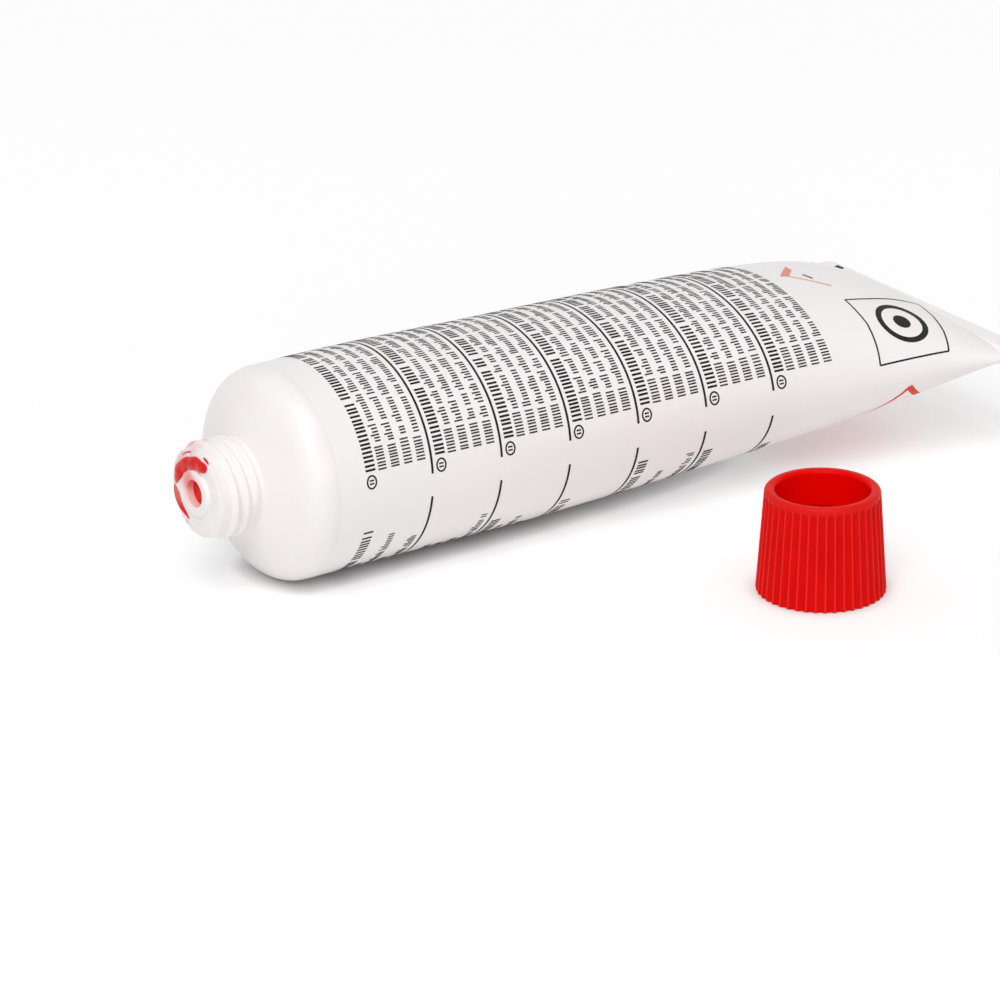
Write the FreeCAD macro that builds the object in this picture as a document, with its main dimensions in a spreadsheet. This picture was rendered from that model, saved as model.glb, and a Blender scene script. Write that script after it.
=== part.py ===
import FreeCAD, Part
import os

from FreeCAD import Placement, Rotation, Vector
from Sketcher import Constraint

# A squeezable tube of hardener paste with its screw cap off.
# The tube lies on its belly along X, nozzle towards -X, crimped tail towards +X. The cap stands
# beside it on its closed end. Z = 0 is the surface they lie on; the origin is under the middle.

NEAR = 1e-4             # how near an edge must lie to the place it is looked for
STATIONS = 24           # steps between the sleeve's round mouth and its flat tail
DOCUMENT = FreeCAD.newDocument("hardener_tube")
SHEET = DOCUMENT.addObject("Spreadsheet::Sheet", "Dimensions")
ALONG_X = Rotation(Vector(1, 1, 1), 120)    # turns a flat curve so its long axis is Y and it faces X


def fill_sheet(rows):
    """Write each alias, value and note on its own line of the sheet."""
    for line, (alias, value, note) in enumerate(rows, start=1):
        SHEET.set(f"A{line}", alias)
        SHEET.set(f"B{line}", value)
        SHEET.set(f"C{line}", note)
        SHEET.setAlias(f"B{line}", alias)
    DOCUMENT.recompute()


DRIVING = [
    ("tube_radius", "17.5", "outside radius of the round sleeve"),
    ("sleeve_length", "132.5", "from the shoulder line to the end of the crimp"),
    ("sleeve_wall", "0.5", "sleeve wall"),
    ("squash_share", "0.4", "share of the squash that grows evenly along the sleeve"),
    ("squash_power", "12", "how late the rest of the squash sets in"),
    ("tail_drop", "0.6", "how far the crimp lies below the tube's axis"),
    ("crimp_band", "3.5", "length of the welded band"),
    ("crimp_allowance", "0.08", "half the melt between the two walls in the weld"),
    ("crimp_corner", "1.2", "rounding of the crimp's two corners"),
    ("shoulder_corner", "5", "radius of the rounded shoulder"),
    ("shoulder_land", "0.3", "straight run between the sleeve's edge and the rounded shoulder"),
    ("shoulder_angle", "22", "slope of the shoulder cone in degrees"),
    ("shoulder_wall", "1.6", "wall of the shoulder cone"),
    ("spigot_length", "4", "reach of the head inside the sleeve"),
    ("spigot_wall", "1", "wall of the head inside the sleeve"),
    ("weld_gap", "0.05", "clearance between the head and the sleeve"),
    ("neck_radius", "7.3", "neck at the root of its thread"),
    ("neck_length", "7.66", "from the foot of the cone to the end face"),
    ("neck_wall", "2", "wall of the neck"),
    ("face_wall", "1.6", "thickness of the neck's end face"),
    ("neck_rounding", "1.4", "rounding of the neck's front edge"),
    ("boss_radius", "3.8", "raised ring round the outlet"),
    ("boss_height", "0.6", "how far the ring stands out of the end face"),
    ("outlet_radius", "2.2", "outlet hole"),
    ("thread_pitch", "1.95", "pitch of the neck thread"),
    ("thread_height", "0.75", "height of the thread over the neck"),
    ("thread_root", "1.3", "width of the ridge where it leaves the neck"),
    ("thread_crest", "0.5", "width of the ridge at its crest"),
    ("thread_start", "1.2", "from the foot of the cone to the middle of the first ridge"),
    ("thread_lead", "1.8", "from the middle of the last ridge to the end face"),
    ("thread_bite", "0.3", "how deep the ridge is rooted in the neck"),
    ("fill_length", "78", "how far the paste reaches behind the shoulder line"),
    ("paste_recess", "1.4", "how far the paste lies back inside the outlet"),
    ("smear_thickness", "0.5", "thickness of the paste left on the end face"),
    ("smear_start", "59", "where that paste starts, in degrees from the side of the cap"),
    ("smear_sweep", "187", "how far round the end face it reaches, over the top"),
    ("cap_height", "17.2", "height of the cap"),
    ("cap_wall", "1.7", "wall of the cap at its open end"),
    ("cap_flare", "1.2", "how much wider the cap is at its closed end"),
    ("cap_clearance", "0.2", "between the neck and the bore of the cap"),
    ("thread_clearance", "0.15", "between the thread's crest and the bottom of the cap's groove"),
    ("thread_slack", "0.1", "between the ridge and each side of the cap's groove"),
    ("cap_plain", "1.5", "plain bore below the cap's thread"),
    ("cap_seal_gap", "0.1", "between the outlet ring and the bottom of the bore"),
    ("cap_foot_width", "1.8", "width of the ring that the closed end stands on"),
    ("cap_foot_depth", "0.6", "recess inside that ring"),
    ("cap_edge", "0.4", "rounding of the closed end"),
    ("rim_rounding", "0.7", "rounding of the open end"),
    ("flute_count", "42", "flutes round the cap"),
    ("flute_radius", "0.7", "section of a flute"),
    ("flute_depth", "0.35", "depth of a flute"),
    ("flute_top", "1.3", "smooth band above the flutes"),
    ("cap_along", "66.2", "cap axis behind the shoulder line"),
    ("cap_aside", "54.8", "cap axis beside the tube axis"),
]

# A flattened sleeve keeps its girth. For an ellipse that is very nearly a^p + b^p = (pi/2 R)^p.
DERIVED = [
    ("tail_height", "=tube_radius - tail_drop", "height of the crimp above the surface"),
    ("girth_power", "=log(2) / log(pi / 2)", "exponent p of the constant girth rule"),
    ("flat_half_width", "=pi / 2 * tube_radius", "half the width of the sleeve laid flat"),
    ("crimp_half", "=sleeve_wall + crimp_allowance", "half the thickness of the crimp"),
    ("crimp_start", "=sleeve_length - crimp_band", "where the welded band begins"),
    ("corner_reach", "=shoulder_corner * tan((90 - shoulder_angle) / 2)", "rounding along the sleeve"),
    ("spigot_outer", "=tube_radius - sleeve_wall - weld_gap", "head inside the sleeve"),
    ("spigot_inner", "=spigot_outer - spigot_wall", "bore of the head inside the sleeve"),
    ("neck_inner", "=neck_radius - neck_wall", "bore of the neck"),
    ("corner_place", "=spigot_length + shoulder_land + corner_reach", "cone meets the cylinder"),
    ("root_place", "=corner_place + (tube_radius - neck_radius) * tan(shoulder_angle)", "foot of the cone"),
    ("face_place", "=root_place + neck_length", "end face"),
    ("tip_place", "=face_place + boss_height", "front of the outlet ring"),
    ("plate_place", "=face_place - face_wall", "inside of the end face"),
    ("inner_offset", "=shoulder_wall / cos(shoulder_angle)", "cone wall measured along the axis"),
    ("inner_foot", "=corner_place - inner_offset + (tube_radius - neck_inner) * "
     "tan(shoulder_angle)", "inner cone meets the neck's bore"),
    ("inner_corner", "=corner_place - inner_offset + (tube_radius - spigot_inner) * "
     "tan(shoulder_angle)", "inner cone meets the spigot's bore"),
    ("nozzle_reach", "=tip_place - spigot_length", "nozzle in front of the shoulder line"),
    ("thread_place", "=root_place + thread_start", "middle of the first ridge"),
    ("thread_foot_low", "=thread_place - thread_root / 2", "ridge foot, tail side"),
    ("thread_foot_high", "=thread_place + thread_root / 2", "ridge foot, nozzle side"),
    ("thread_top_low", "=thread_place - thread_crest / 2", "ridge crest, tail side"),
    ("thread_top_high", "=thread_place + thread_crest / 2", "ridge crest, nozzle side"),
    ("thread_base_radius", "=neck_radius - thread_bite", "ridge rooted in the neck"),
    ("thread_top_radius", "=neck_radius + thread_height", "crest of the thread"),
    ("thread_travel", "=neck_length - thread_start - thread_lead", "thread along the neck"),
    ("paste_front", "=tip_place - paste_recess", "front of the paste in the outlet"),
    ("smear_front", "=face_place + smear_thickness", "front of the paste on the end face"),
    ("smear_outer", "=neck_radius - neck_rounding", "outer edge of the paste on the end face"),
    ("bore_radius", "=neck_radius + cap_clearance", "bore of the cap inside its thread"),
    ("groove_inner", "=bore_radius - thread_bite", "groove section, open side"),
    ("groove_outer", "=thread_top_radius + thread_clearance", "bottom of the cap's groove"),
    ("cap_rim_radius", "=bore_radius + cap_wall", "cap at its open end"),
    ("cap_base_radius", "=cap_rim_radius + cap_flare", "cap over its flutes at the closed end"),
    ("seat_radius", "=cap_rim_radius - rim_rounding", "where the rim meets the shoulder cone"),
    ("bore_depth", "=neck_length + boss_height + cap_seal_gap + (seat_radius - neck_radius) * "
     "tan(shoulder_angle)", "depth of the bore"),
    ("bore_floor", "=cap_height - bore_depth", "bottom of the bore over the closed end"),
    ("groove_place", "=bore_floor + cap_plain + thread_root / 2 + thread_slack", "groove's first middle"),
    ("groove_foot_low", "=groove_place - thread_root / 2 - thread_slack", "groove's open side, below"),
    ("groove_foot_high", "=groove_place + thread_root / 2 + thread_slack", "groove's open side, above"),
    ("groove_low", "=groove_place - thread_crest / 2 - thread_slack", "groove's bottom, below"),
    ("groove_high", "=groove_place + thread_crest / 2 + thread_slack", "groove's bottom, above"),
    ("groove_travel", "=cap_height - groove_place + thread_pitch", "groove along the bore and out"),
    ("foot_inner", "=cap_base_radius - cap_foot_width", "recess in the closed end"),
    ("cap_lean", "=atan(cap_flare / cap_height)", "slope of the cap's side"),
    ("flute_place", "=cap_base_radius + flute_radius - flute_depth", "centre of a flute at the base"),
    ("flute_length", "=cap_height - flute_top", "length of a flute"),
    ("origin_along", "=(sleeve_length - nozzle_reach) / 2", "middle of the whole, along the tube"),
    ("crimp_width", "=2 * flat_half_width", "width of the welded band"),
    ("crimp_thickness", "=2 * crimp_half", "thickness of the welded band"),
    ("origin_aside", "=(flat_half_width - cap_aside - cap_base_radius) / 2", "middle, across"),
]


def station_rows(index):
    """Half height, half width, centre height and place of one section of the sleeve."""
    share = f"{index} / {STATIONS}"
    half = (f"=crimp_half + (tube_radius - crimp_half) * (1 - squash_share * ({share})^2"
            f" - (1 - squash_share) * ({share})^squash_power)")
    wide = f"=(flat_half_width^girth_power - half_high_{index}^girth_power)^(1 / girth_power)"
    return [
        (f"half_high_{index}", half, f"section {index}"),
        (f"half_wide_{index}", wide, f"section {index}"),
        (f"centre_{index}", f"=max(half_high_{index}; tail_height)", f"section {index}"),
        (f"place_{index}", f"=crimp_start * {share} - origin_along", f"section {index}"),
    ]


def value(alias):
    return float(SHEET.get(alias))


def bind(obj, **links):
    """Tie properties of an object to expressions over the sheet's aliases."""
    for name, expression in links.items():
        obj.setExpression(name, expression)


def cell(alias):
    return f"Dimensions.{alias}"


def place_by(obj, along=None, aside=None, up=None):
    for axis, expression in (("x", along), ("y", aside), ("z", up)):
        if expression:
            obj.setExpression(f"Placement.Base.{axis}", expression)


def origin_plane(body, role):
    return next(item for item in body.Origin.OriginFeatures if item.Role == role)


def closed_profile(body, name, role, corners):
    """A sketch of straight lines through corners, each fixed by its two cells.

    None stands for a coordinate of zero: that corner lies on an axis of the sketch.
    """
    sketch = body.newObject("Sketcher::SketchObject", name)
    sketch.AttachmentSupport = [(origin_plane(body, role), "")]
    sketch.MapMode = "FlatFace"
    points = [Vector(value(a) if a else 0, value(b) if b else 0, 0) for a, b in corners]
    for index, start in enumerate(points):
        sketch.addGeometry(Part.LineSegment(start, points[(index + 1) % len(points)]), False)
    for index, (across, up) in enumerate(corners):
        after = (index + 1) % len(corners)
        sketch.addConstraint(Constraint("Coincident", index, 2, after, 1))
        if across:
            fix_distance(sketch, "DistanceX", index, across)
        else:
            sketch.addConstraint(Constraint("PointOnObject", index, 1, -2))
        if up:
            fix_distance(sketch, "DistanceY", index, up)
        else:
            sketch.addConstraint(Constraint("PointOnObject", index, 1, -1))
    return sketch


def fix_distance(sketch, kind, index, alias):
    number = sketch.addConstraint(Constraint(kind, -1, 1, index, 1, value(alias)))
    sketch.setExpression(f"Constraints[{number}]", cell(alias))


def revolve(body, sketch, axis, name):
    feature = body.newObject("PartDesign::Revolution", name)
    feature.Profile = sketch
    feature.ReferenceAxis = (sketch, [axis])
    feature.Angle = 360
    DOCUMENT.recompute()
    return feature


def circles_at(shape, axis, spots):
    """Names of the circular edges at given (place along the axis, radius) pairs."""
    names = []
    for number, edge in enumerate(shape.Edges, start=1):
        curve = edge.Curve
        if not isinstance(curve, Part.Circle):
            continue
        place = curve.Center.dot(axis)
        for spot, radius in spots:
            if abs(place - spot) < NEAR and abs(curve.Radius - radius) < NEAR:
                names.append(f"Edge{number}")
    return names


def round_edges(body, base, axis, spots, alias, name):
    feature = body.newObject("PartDesign::Fillet", name)
    feature.Base = (base, circles_at(base.Shape, axis, spots))
    feature.setExpression("Radius", cell(alias))
    DOCUMENT.recompute()
    return feature


def sleeve_sections(name, wall):
    """Sections of the sleeve from its round mouth to its flat tail, smaller by the wall."""
    sections = []
    for index in range(STATIONS + 1):
        high = f"{cell(f'half_high_{index}')} - {wall}"
        wide = f"{cell(f'half_wide_{index}')} - {wall}"
        if index == 0:
            section = DOCUMENT.addObject("Part::Circle", f"{name}_{index}")
            section.setExpression("Radius", high)
        else:
            section = DOCUMENT.addObject("Part::Ellipse", f"{name}_{index}")
            section.MajorRadius = value(f"half_wide_{index}")
            section.MinorRadius = value(f"half_high_{index}")
            section.setExpression("MajorRadius", wide)
            section.setExpression("MinorRadius", high)
        section.Placement = Placement(Vector(), ALONG_X)
        place_by(section, cell(f"place_{index}"), f"-{cell('origin_aside')}", cell(f"centre_{index}"))
        sections.append(section)
    return sections


def loft(name, sections):
    feature = DOCUMENT.addObject("Part::Loft", name)
    feature.Sections = sections
    feature.Solid = True
    feature.Ruled = False
    feature.Closed = False
    return feature


def boolean(kind, name, base, tool):
    feature = DOCUMENT.addObject(f"Part::{kind}", name)
    feature.Base = base
    feature.Tool = tool
    return feature


def make_crimp():
    """The welded band at the tail, two walls thick, with two rounded corners."""
    band = DOCUMENT.addObject("PartDesign::Body", "crimp")
    outline = closed_profile(band, "crimp_outline", "XY_Plane", [
        (None, None), ("crimp_band", None), ("crimp_band", "crimp_width"), (None, "crimp_width")])
    plate = band.newObject("PartDesign::Pad", "crimp_plate")
    plate.Profile = outline
    plate.setExpression("Length", cell("crimp_thickness"))
    DOCUMENT.recompute()
    ends = [f"Edge{number}" for number, edge in enumerate(plate.Shape.Edges, start=1)
            if all(abs(v.X - value("crimp_band")) < NEAR for v in edge.Vertexes)
            and edge.BoundBox.ZLength > edge.BoundBox.YLength]
    corners = band.newObject("PartDesign::Fillet", "crimp_corners")
    corners.Base = (plate, ends)
    corners.setExpression("Radius", cell("crimp_corner"))
    place_by(band, f"{cell('crimp_start')} - {cell('origin_along')}",
             f"-{cell('origin_aside')} - {cell('flat_half_width')}",
             f"{cell('tail_height')} - {cell('crimp_half')}")
    return band


def make_sleeve():
    """Round at the shoulder, flat and welded at the tail; returns it and the space inside."""
    outside = loft("sleeve_outside", sleeve_sections("outer_section", "0"))
    inside = loft("sleeve_inside", sleeve_sections("inner_section", cell("sleeve_wall")))
    whole = boolean("Fuse", "sleeve_whole", outside, make_crimp())
    sleeve = boolean("Cut", "tube_sleeve", whole, inside)
    sleeve.Label = "tube_sleeve"
    return sleeve, inside


def turn_to_nozzle(body, roll=0):
    """Lay a body turned about its own X axis on the tube's axis, its X towards the nozzle."""
    facing = Rotation(Vector(0, 0, 1), 180).multiply(Rotation(Vector(1, 0, 0), roll))
    body.Placement = Placement(Vector(), facing)
    place_by(body, f"{cell('spigot_length')} - {cell('origin_along')}", f"-{cell('origin_aside')}",
             cell("tube_radius"))


def make_head():
    """Shoulder, threaded neck and outlet, moulded in one and welded into the sleeve."""
    body = DOCUMENT.addObject("PartDesign::Body", "tube_head")
    body.Label = "tube_head"
    outline = closed_profile(body, "head_outline", "XY_Plane", [
        (None, "spigot_inner"), (None, "spigot_outer"), ("spigot_length", "spigot_outer"),
        ("spigot_length", "tube_radius"), ("corner_place", "tube_radius"),
        ("root_place", "neck_radius"), ("face_place", "neck_radius"),
        ("face_place", "boss_radius"), ("tip_place", "boss_radius"),
        ("tip_place", "outlet_radius"), ("plate_place", "outlet_radius"),
        ("plate_place", "neck_inner"), ("inner_foot", "neck_inner"),
        ("inner_corner", "spigot_inner")])
    turned = revolve(body, outline, "H_Axis", "head_turned")
    axis = Vector(1, 0, 0)
    shoulder = round_edges(body, turned, axis, [(value("corner_place"), value("tube_radius"))],
                           "shoulder_corner", "shoulder_rounding")
    round_edges(body, shoulder, axis, [(value("face_place"), value("neck_radius"))],
                "neck_rounding", "front_rounding")
    ridge = closed_profile(body, "thread_outline", "XY_Plane", [
        ("thread_foot_low", "thread_base_radius"), ("thread_foot_high", "thread_base_radius"),
        ("thread_top_high", "thread_top_radius"), ("thread_top_low", "thread_top_radius")])
    thread = body.newObject("PartDesign::AdditiveHelix", "neck_thread")
    thread.Profile = ridge
    thread.ReferenceAxis = (ridge, ["H_Axis"])
    thread.Mode = "pitch-height-angle"
    bind(thread, Pitch=cell("thread_pitch"), Height=cell("thread_travel"))
    DOCUMENT.recompute()
    turn_to_nozzle(body)
    return body


def make_paste(inside, head):
    """Paste inside the sleeve and the head, up to the outlet."""
    block = DOCUMENT.addObject("Part::Box", "fill_block")
    bind(block, Length=cell("fill_length"), Width=f"4 * {cell('tube_radius')}",
         Height=f"4 * {cell('tube_radius')}")
    place_by(block, f"-{cell('origin_along')}", f"-{cell('origin_aside')} - 2 * {cell('tube_radius')}",
             f"-{cell('tube_radius')}")
    sleeve_part = boolean("Common", "paste_in_sleeve", inside, block)
    core = DOCUMENT.addObject("PartDesign::Body", "paste_core")
    outline = closed_profile(core, "core_outline", "XY_Plane", [
        ("spigot_length", None), ("spigot_length", "spigot_inner"), ("inner_corner", "spigot_inner"),
        ("inner_foot", "neck_inner"), ("plate_place", "neck_inner"),
        ("plate_place", "outlet_radius"), ("paste_front", "outlet_radius"), ("paste_front", None)])
    revolve(core, outline, "H_Axis", "core_turned")
    turn_to_nozzle(core)
    joined = boolean("Fuse", "paste_joined", sleeve_part, core)
    paste = boolean("Cut", "paste_fill", joined, head)
    paste.Label = "paste_fill"
    return paste


def make_smear():
    """Paste left on the end face, round the outlet ring."""
    body = DOCUMENT.addObject("PartDesign::Body", "paste_smear")
    body.Label = "paste_smear"
    outline = closed_profile(body, "smear_outline", "XY_Plane", [
        ("face_place", "boss_radius"), ("smear_front", "boss_radius"),
        ("smear_front", "smear_outer"), ("face_place", "smear_outer")])
    swept = revolve(body, outline, "H_Axis", "smear_swept")
    swept.setExpression("Angle", cell("smear_sweep"))
    turn_to_nozzle(body, value("smear_start"))
    return body


def make_cap():
    """Fluted cap, narrower at its open end, standing on its closed end."""
    body = DOCUMENT.addObject("PartDesign::Body", "screw_cap")
    body.Label = "screw_cap"
    outline = closed_profile(body, "cap_outline", "XZ_Plane", [
        (None, "cap_foot_depth"), ("foot_inner", "cap_foot_depth"), ("foot_inner", None),
        ("cap_base_radius", None), ("cap_rim_radius", "cap_height"), ("bore_radius", "cap_height"),
        ("bore_radius", "bore_floor"), (None, "bore_floor")])
    turned = revolve(body, outline, "V_Axis", "cap_turned")
    axis = Vector(0, 0, 1)
    rim = round_edges(body, turned, axis, [(value("cap_height"), value("cap_rim_radius")),
                                           (value("cap_height"), value("bore_radius"))],
                      "rim_rounding", "rim_rounded")
    round_edges(body, rim, axis, [(0, value("cap_base_radius"))], "cap_edge", "foot_rounded")
    groove = closed_profile(body, "cap_thread_outline", "XZ_Plane", [
        ("groove_inner", "groove_foot_low"), ("groove_outer", "groove_low"),
        ("groove_outer", "groove_high"), ("groove_inner", "groove_foot_high")])
    thread = body.newObject("PartDesign::SubtractiveHelix", "cap_thread")
    thread.Profile = groove
    thread.ReferenceAxis = (groove, ["V_Axis"])
    thread.Mode = "pitch-height-angle"
    bind(thread, Pitch=cell("thread_pitch"), Height=cell("groove_travel"))
    DOCUMENT.recompute()
    section = body.newObject("Sketcher::SketchObject", "flute_section")
    section.AttachmentSupport = [(origin_plane(body, "XY_Plane"), "")]
    section.MapMode = "FlatFace"
    section.addGeometry(Part.Circle(Vector(value("flute_place"), 0, 0), Vector(0, 0, 1),
                                    value("flute_radius")), False)
    section.addConstraint(Constraint("PointOnObject", 0, 3, -1))
    centre = section.addConstraint(Constraint("DistanceX", -1, 1, 0, 3, value("flute_place")))
    size = section.addConstraint(Constraint("Radius", 0, value("flute_radius")))
    section.setExpression(f"Constraints[{centre}]", cell("flute_place"))
    section.setExpression(f"Constraints[{size}]", cell("flute_radius"))
    flute = body.newObject("PartDesign::Pocket", "flute")
    flute.Profile = section
    flute.UseCustomVector = True
    flute.Direction = Vector(0, 0, 1)
    flute.setExpression("Direction.x", f"-sin({cell('cap_lean')})")
    flute.setExpression("Direction.z", f"cos({cell('cap_lean')})")
    flute.setExpression("Length", cell("flute_length"))
    DOCUMENT.recompute()
    ring = body.newObject("PartDesign::PolarPattern", "flutes")
    ring.Originals = [flute]
    ring.Axis = (section, ["N_Axis"])
    ring.Angle = 360
    ring.setExpression("Occurrences", cell("flute_count"))
    body.Tip = ring
    place_by(body, f"{cell('cap_along')} - {cell('origin_along')}",
             f"-{cell('origin_aside')} - {cell('cap_aside')}")
    DOCUMENT.recompute()
    return body


def check(parts):
    """Stop before anything is written if a feature failed or a shape isn't sound."""
    for obj in DOCUMENT.Objects:
        if "Invalid" in obj.State or "Error" in obj.State:
            raise RuntimeError(f"{obj.Label}: {obj.State}")
    for part in parts:
        if part.Shape.isNull() or not part.Shape.isValid():
            raise RuntimeError(f"{part.Label}: its shape is not sound")


def main():
    rows = list(DRIVING) + list(DERIVED)
    for index in range(STATIONS + 1):
        rows += station_rows(index)
    fill_sheet(rows)
    sleeve, inside = make_sleeve()
    head = make_head()
    paste = make_paste(inside, head)
    smear = make_smear()
    cap = make_cap()
    DOCUMENT.recompute()
    parts = [sleeve, head, paste, smear, cap]
    check(parts)
    os.makedirs("parts", exist_ok=True)
    for part in parts:
        part.Shape.exportStep(os.path.join("parts", f"{part.Label}.step"))
        box = part.Shape.BoundBox
        print(part.Label, len(part.Shape.Solids), round(part.Shape.Volume, 1),
              [round(n, 2) for n in (box.XMin, box.YMin, box.ZMin, box.XMax, box.YMax, box.ZMax)])


main()
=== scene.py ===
import math
import random

import bpy
import numpy as np
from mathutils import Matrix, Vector


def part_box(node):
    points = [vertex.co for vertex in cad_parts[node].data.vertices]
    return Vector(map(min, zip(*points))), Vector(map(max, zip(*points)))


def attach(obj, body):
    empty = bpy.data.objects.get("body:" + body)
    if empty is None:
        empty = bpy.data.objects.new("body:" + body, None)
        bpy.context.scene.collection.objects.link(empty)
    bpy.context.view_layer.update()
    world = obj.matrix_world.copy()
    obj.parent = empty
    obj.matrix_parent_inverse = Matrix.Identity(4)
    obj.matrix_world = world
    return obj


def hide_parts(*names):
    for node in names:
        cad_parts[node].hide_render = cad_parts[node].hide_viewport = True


# The looks of a squeeze tube of hardener paste and its screw cap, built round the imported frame.
# Mesh code works in millimetres, which become metres when a mesh is made. On the sleeve, s runs
# back from its mouth and v runs round it, up from the side that faces the cap.

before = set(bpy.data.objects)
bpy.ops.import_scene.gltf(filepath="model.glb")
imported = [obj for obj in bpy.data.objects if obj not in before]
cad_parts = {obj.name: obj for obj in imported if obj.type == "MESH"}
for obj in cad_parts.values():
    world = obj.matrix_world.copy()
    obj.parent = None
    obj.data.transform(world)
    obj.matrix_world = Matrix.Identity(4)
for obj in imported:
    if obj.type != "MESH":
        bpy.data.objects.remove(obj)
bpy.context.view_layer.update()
MM = 0.001
random.seed(11)


# --- sizes read from the frame ------------------------------------------------------------------

def box_mm(node):
    low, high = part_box(node)
    return np.array(low) / MM, np.array(high) / MM


sleeve_low, sleeve_high = box_mm("tube_sleeve")
head_low, head_high = box_mm("tube_head")
cap_low, cap_high = box_mm("screw_cap")

RADIUS = head_high[2] / 2                       # the sleeve is round at its mouth
AXIS_Y = (head_low[1] + head_high[1]) / 2
MOUTH_X = sleeve_low[0]                         # the shoulder line
LENGTH = sleeve_high[0] - sleeve_low[0]
FLAT_HALF = (sleeve_high[1] - sleeve_low[1]) / 2
TIP = MOUTH_X - head_low[0]                     # nozzle tip in front of the shoulder line
SPIGOT = head_high[0] - MOUTH_X
CAP_X, CAP_Y = (cap_low[:2] + cap_high[:2]) / 2
CAP_TOP = cap_high[2]

# --- sizes shared with the solids ---------------------------------------------------------------

WALL = 0.5
BAND = 3.5                                      # welded band at the tail
CRIMP_HALF = 0.58
BAND_HALF = 0.5
TAIL_HEIGHT = RADIUS - 0.6
SQUASH_SHARE, SQUASH_POWER = 0.4, 12
GIRTH_POWER = math.log(2) / math.log(math.pi / 2)
CRIMP_CORNER = 1.2
ROUND, BOXY, BOX_RUN = 2, 10, 2.5                # squareness of the section, and where it changes
SETTLE = 0.01                                   # softens the change from belly to rising tail
SHOULDER_CORNER, SHOULDER_WALL = 5, 1.6
SLOPE = math.tan(math.radians(22))
NECK_RADIUS, NECK_WALL, NECK_LENGTH, NECK_ROUNDING = 7.3, 2, 7.66, 1.4
BOSS_RADIUS, BOSS_HEIGHT, OUTLET_RADIUS = 3.8, 0.6, 2.2
FACE = TIP - BOSS_HEIGHT
ROOT = FACE - NECK_LENGTH
PITCH, THREAD_HEIGHT = 1.95, 0.75
THREAD_FIRST, THREAD_TRAVEL = 1.2, 4.66
CAP_BASE, CAP_RIM, BORE, BORE_FLOOR = 10.4, 9.2, 7.5, 8.355
FOOT_RADIUS, FOOT_RECESS, POLE_RADIUS = 8.6, 0.6, 0.8
GROOVE_RADIUS, GROOVE_FIRST = 8.2, 10.6
GROOVE_FADE = 6.7, 5.6                          # depths in the bore between which it fades out
FLUTES, FLUTE_RADIUS, FLUTE_DEPTH, FLUTE_TOP = 42, 0.7, 0.35, 1.3

SKIN_LIFT = -0.03                               # skins lie just inside the solids' box
INK_TOP, INK_BOTTOM = -0.004, -0.07


# --- mesh helpers -------------------------------------------------------------------------------

def add_mesh(name, points, faces, material, slot, sharp=None):
    mesh = bpy.data.meshes.new(name)
    mesh.from_pydata((np.asarray(points) * MM).tolist(), [], faces)
    mesh.validate()
    mesh.polygons.foreach_set("use_smooth", [True] * len(mesh.polygons))
    if sharp:
        mesh.set_sharp_from_angle(angle=math.radians(sharp))
    mesh.materials.append(material)
    piece = bpy.data.objects.new(name, mesh)
    bpy.context.scene.collection.objects.link(piece)
    if slot:
        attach(piece, "root")
    return piece


def grid_faces(rows, columns, first=0, wrap=True, flip=False):
    """Quads of a grid of points stored row after row; wrap joins the last column to the first."""
    faces = []
    for row in range(rows - 1):
        for column in range(columns if wrap else columns - 1):
            after = (column + 1) % columns
            a = first + row * columns + column
            b = first + row * columns + after
            quad = (a, b, b + columns, a + columns)
            faces.append(quad[::-1] if flip else quad)
    return faces


def fan_faces(pole, first, columns, flip=False):
    """Triangles from a pole to a ring of points."""
    faces = []
    for column in range(columns):
        triangle = (pole, first + column, first + (column + 1) % columns)
        faces.append(triangle[::-1] if flip else triangle)
    return faces


def smooth_step(low, high, x):
    share = np.clip((x - low) / (high - low), 0, 1)
    return share * share * (3 - 2 * share)


def rounded_outline(corners, spacing, closed=True, steps=8):
    """An outline of (place, radius, rounding) corners as points no further apart than spacing."""
    points = []
    count = len(corners)
    for index, (x, y, rounding) in enumerate(corners):
        here = np.array([x, y], float)
        if rounding <= 0:
            points.append(here)
            continue
        before = np.array(corners[index - 1][:2], float)
        after = np.array(corners[(index + 1) % count][:2], float)
        to_before = (before - here) / np.linalg.norm(before - here)
        to_after = (after - here) / np.linalg.norm(after - here)
        half = math.acos(np.clip(to_before @ to_after, -1, 1)) / 2
        reach = rounding / math.tan(half)
        middle = to_before + to_after
        centre = here + middle / np.linalg.norm(middle) * rounding / math.sin(half)
        start, end = here + to_before * reach - centre, here + to_after * reach - centre
        turn = math.pi - 2 * half
        for step in range(steps + 1):
            share = step / steps
            mix = math.sin((1 - share) * turn) * start + math.sin(share * turn) * end
            points.append(centre + mix / math.sin(turn))
    filled = []
    for index, here in enumerate(points if closed else points[:-1]):
        after = points[(index + 1) % len(points)]
        parts = max(1, math.ceil(np.linalg.norm(after - here) / spacing((here + after) / 2)))
        for part in range(parts):
            filled.append(here + (after - here) * part / parts)
    if not closed:
        filled.append(points[-1])
    return np.array(filled)


# --- the sleeve's form --------------------------------------------------------------------------

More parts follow.
